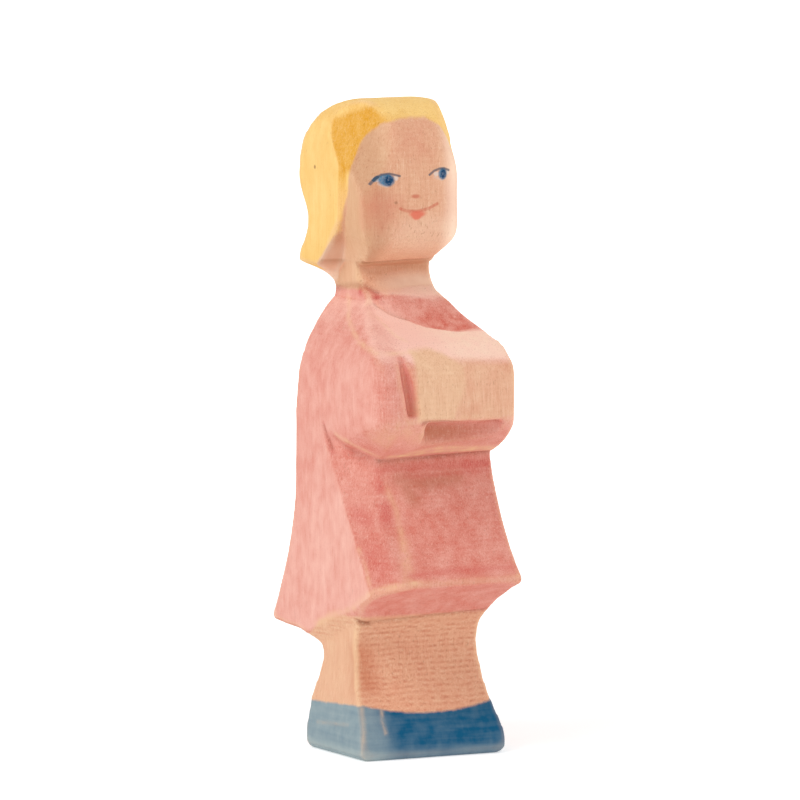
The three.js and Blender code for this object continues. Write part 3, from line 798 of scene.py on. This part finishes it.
# Painted light: a paler tone on the left cheek, the chin, the base of the neck and the skin under the
# hair.
left_cheek = paint.soft(x, 4.0, 8.0) * paint.soft(z, 86.0, 89.0) * 1.2
chin = dab(1.5, 90.5, 6.0, 3.2, 0.6) * 0.35
neck_base = dab(3.0, 81.2, 6.0, 1.8, 0.6) * (1 - sideways)
under_hair = paint.soft(y, 1.6, 5.0) * paint.soft(z, 93.0, 90.0) * (1 - sideways) * 0.9
painted_light_on_skin = (left_cheek + chin + neck_base + under_hair) * (0.85 + cloud * 0.4)
coat = paint.mix(coat, painted_light_tone, painted_light_on_skin * bare_skin * paint.soft(z, 78.0, 80.0))
# Painted shade on the facet beside the right eye, and a painted shadow under the chin.
right_facet = paint.soft(x, -4.0, -7.5) * on_face * 0.42
under_chin = paint.soft(z, 82.5, 85.0) * paint.soft(z, 85.8, 85.2) * 0.4
coat = paint.mix(coat, shaded_tone, (right_facet + under_chin) * bare_skin * (1 - sideways))
side_skin = paint.soft(z, 79.5, 81.0) * planed * bare_skin * (1 - on_face * 0.5)
coat = paint.mix(coat, side_tone, side_skin * (0.2 + paint.soft(z, 84.0, 92.0) * 0.3))
cracks = paint.soft(paint.speckle(place, (3.4, 3.4, 1.0), 2.0, 0.6), 0.16, 0.42)
marks = cracks * dab(0.5, 92.0, 7.0, 4.0, 0.5) \
    + paint.soft(scratches, 0.12, 0.4) * dab(-9.0, 101.5, 3.0, 5.0, 0.6)
coat = paint.mix(coat, crack_brown, marks * on_face * bare_skin * 0.4)
blush = dab(-7.4, 94.9, 3.6, 3.4, 0.8) + dab(6.9, 96.1, 2.4, 3.0, 0.8) * 0.5 \
    + dab(0.5, 106.5, 4.0, 3.0, 0.9) * 0.6
coat = paint.mix(coat, blush_red, blush * on_face * (0.3 + cloud * 0.2 + grit * 0.15))
count_nodes("skin")

# %% [markdown]
# Each eye is built up in layers, as with a brush: greyish white, a blue iris, a
# darker middle and a lid line. Flecks let the wood show through small strokes.

# %% Eyes
eye_white = pigment(228, 212, 202)
iris_blue = pigment(70, 126, 160)
pupil_blue = pigment(16, 58, 96)
lid_grey = pigment(64, 82, 100)
fleck = paint.speckle(place, (2.4, 2.4, 2.4), 2.0, 0.6)
white = dab(-7.3, 100.1, 0.45, 0.4) + dab(-4.2, 100.35, 0.4, 0.45) + dab(3.5, 100.85, 0.5, 0.4) \
    + dab(6.0, 101.0, 0.3, 0.4) + brush(0.35, (-7.0, 99.35), (-5.8, 98.95), (-4.6, 99.6)) * 0.5 \
    + brush(0.3, (3.2, 100.3), (4.6, 99.8), (5.6, 100.1)) * 0.4
coat = paint.mix(coat, eye_white, white * on_face * 0.7)
iris = dab(-5.8, 100.05, 1.3, 1.05, 0.25) + dab(4.85, 100.85, 0.88, 1.0, 0.25)
coat = paint.mix(coat, iris_blue, iris * on_face * (0.9 + fleck * 0.4))
pupil = dab(-5.4, 99.9, 0.8, 0.85, 0.5) + dab(5.0, 100.75, 0.6, 0.8, 0.5)
coat = paint.mix(coat, pupil_blue, pupil * on_face * (0.85 + fleck * 1.2))
lid = brush(0.28, (-8.1, 99.3), (-7.4, 100.3), (-6.5, 100.95), (-5.3, 101.15), (-3.5, 100.7)) \
    + brush(0.36, (-7.5, 99.95), (-7.1, 100.5)) \
    + brush(0.3, (2.2, 100.75), (3.1, 101.4), (4.2, 101.75), (5.2, 101.75), (6.2, 101.4))
coat = paint.mix(coat, lid_grey, lid * on_face * 0.75)
count_nodes("eyes")

# %% [markdown]
# One touch makes the nose. The mouth is a curved line with a fuller lower lip, for
# which three dabs are added up and blurred together.

# %% Nose, mouth and two dark pores
line_red = pigment(206, 108, 84)
lip_red = pigment(228, 106, 84)
pore_dark = pigment(132, 80, 46)
nose = dab(-0.5, 97.1, 0.75, 0.36, 0.5)
mouth_line = brush(0.4, (-3.4, 95.05), (-2.3, 94.65), (-0.2, 94.5), (2.0, 94.9), (3.8, 95.7))
coat = paint.mix(coat, line_red, (nose * 0.7 + mouth_line * (0.6 + fleck * 0.5)) * on_face)
lip = dab(-0.1, 94.2, 1.8, 0.5, 0.6) + dab(-0.2, 93.75, 1.3, 0.5, 0.6) \
    + dab(-0.3, 93.35, 0.7, 0.45, 0.6)
coat = paint.mix(coat, lip_red, paint.soft(lip, 0.1, 1.6) * on_face * 0.8)
cheek_pore = dab(-4.2, 96.1, 0.28, 0.24, 0.7) * on_face * 0.7
from_pore = ((y - 9.4) ** 2 + (z - 101.4) ** 2) ** 0.5
hair_pore = paint.soft(from_pore, 0.5, 0.15) * paint.soft(x, -10.0, -10.5)
coat = paint.mix(coat, pore_dark, (cheek_pore + hair_pore) * 0.7)
count_nodes("nose and mouth")

# %% [markdown]
# ## Surface
# Thin paint on wood is matt. A small bump from the grain and the saw rows
# catches the light. The bump is kept to hundredths of a millimetre, because
# that is how deep such marks are.

# %% Put the surface together
MARK_DEPTH = 0.09
relief = paint.add("ShaderNodeBump", None, {
    "Strength": 0.6, "Distance": MARK_DEPTH * MM,
    "Height": saw_marks * 0.5 + fibre * 0.25 + grit * 0.25 - pores * 0.5})
surface = paint.add("ShaderNodeBsdfPrincipled", None, {
    "Base Color": coat, "Roughness": 0.62 + grain * 0.06, "Normal": relief, "IOR": 1.45,
    "Specular IOR Level": 0.12})
paint.add("ShaderNodeOutputMaterial", None, {"Surface": surface})
figure.data.materials.append(painted_wood)
print("material has %d nodes" % len(paint.tree.nodes))

# %% [markdown]
# ## Join the piece to the part
# The painted figure stands for the carved block and for all its paint films.

# %% Ride and replace
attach(figure, "root")
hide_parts(*sorted(frame["nodes"]))
print("%s stands for %d parts" % (figure.name, len(frame["nodes"])))

# %% [markdown]
# ## Floor and light
# A studio table with one large soft lamp high on the figure's right, one low on
# its left and an even glow from all around. The background is full white only
# for the camera and for mirror-like rays, so that white lights nothing. The table
# throws light back from below; it keeps the soft shadow and turns white away from
# the figure.

# %% A pale floor
FLOOR_HALF = 3.0
FLOOR_GREY = 0.86
BOUNCE = 0.3
SEEN_NEAR, SEEN_RISE = 0.42, 0.5
floor_mesh = bpy.data.meshes.new("floor")
floor_mesh.from_pydata([(-FLOOR_HALF, -FLOOR_HALF, 0), (FLOOR_HALF, -FLOOR_HALF, 0),
                        (FLOOR_HALF, FLOOR_HALF, 0), (-FLOOR_HALF, FLOOR_HALF, 0)], [], [(0, 1, 2, 3)])
floor = bpy.data.objects.new("floor", floor_mesh)
stage.link(floor)

pale_floor = bpy.data.materials.new("pale_floor")
table = Palette(pale_floor)
seen = table.add("ShaderNodeLightPath", output="Is Camera Ray")
away = table.add("ShaderNodeVectorMath", {"operation": "LENGTH"},
                 {0: table.add("ShaderNodeTexCoord", output="Object")}, output="Value")
matt = table.add("ShaderNodeBsdfDiffuse", None, {"Color": (FLOOR_GREY, FLOOR_GREY, FLOOR_GREY, 1)})
to_camera = SEEN_NEAR - BOUNCE + table.soft(away, 0.06, 0.5) * SEEN_RISE
glow = table.add("ShaderNodeEmission", None,
                 {"Color": (1, 1, 1, 1), "Strength": BOUNCE + seen * to_camera})
both = table.add("ShaderNodeAddShader", None, {0: matt, 1: glow})
table.add("ShaderNodeOutputMaterial", None, {"Surface": both})
floor_mesh.materials.append(pale_floor)
print("floor %.0f m wide" % (2 * FLOOR_HALF))

# %% Lamps and background
GLOW = 0.63
KEY_WATTS, FILL_WATTS = 3.55, 4.0
LAMP_SIZE, LAMP_DISTANCE = 0.5, 1.0

world = bpy.data.worlds.new("studio")
bpy.context.scene.world = world
sky = Palette(world)
ray = sky.add("ShaderNodeLightPath", output="Is Camera Ray")
directly = ray + ray.out("Is Glossy Ray") + ray.out("Is Transmission Ray")
background = sky.add("ShaderNodeBackground", None, {
    "Color": (1, 1, 1, 1), "Strength": GLOW + sky.soft(directly, 0.0, 1.0) * (1 - GLOW)})
sky.add("ShaderNodeOutputWorld", None, {"Surface": background})


def softbox(name, watts, azimuth, elevation):
    lamp = bpy.data.lights.new(name, "AREA")
    lamp.energy = watts
    lamp.size = LAMP_SIZE
    return aimed(name, lamp, azimuth, elevation, LAMP_DISTANCE)


softbox("key", KEY_WATTS, azimuth=-70, elevation=46)
softbox("fill", FILL_WATTS, azimuth=78, elevation=4)
print("two softboxes and an even glow")
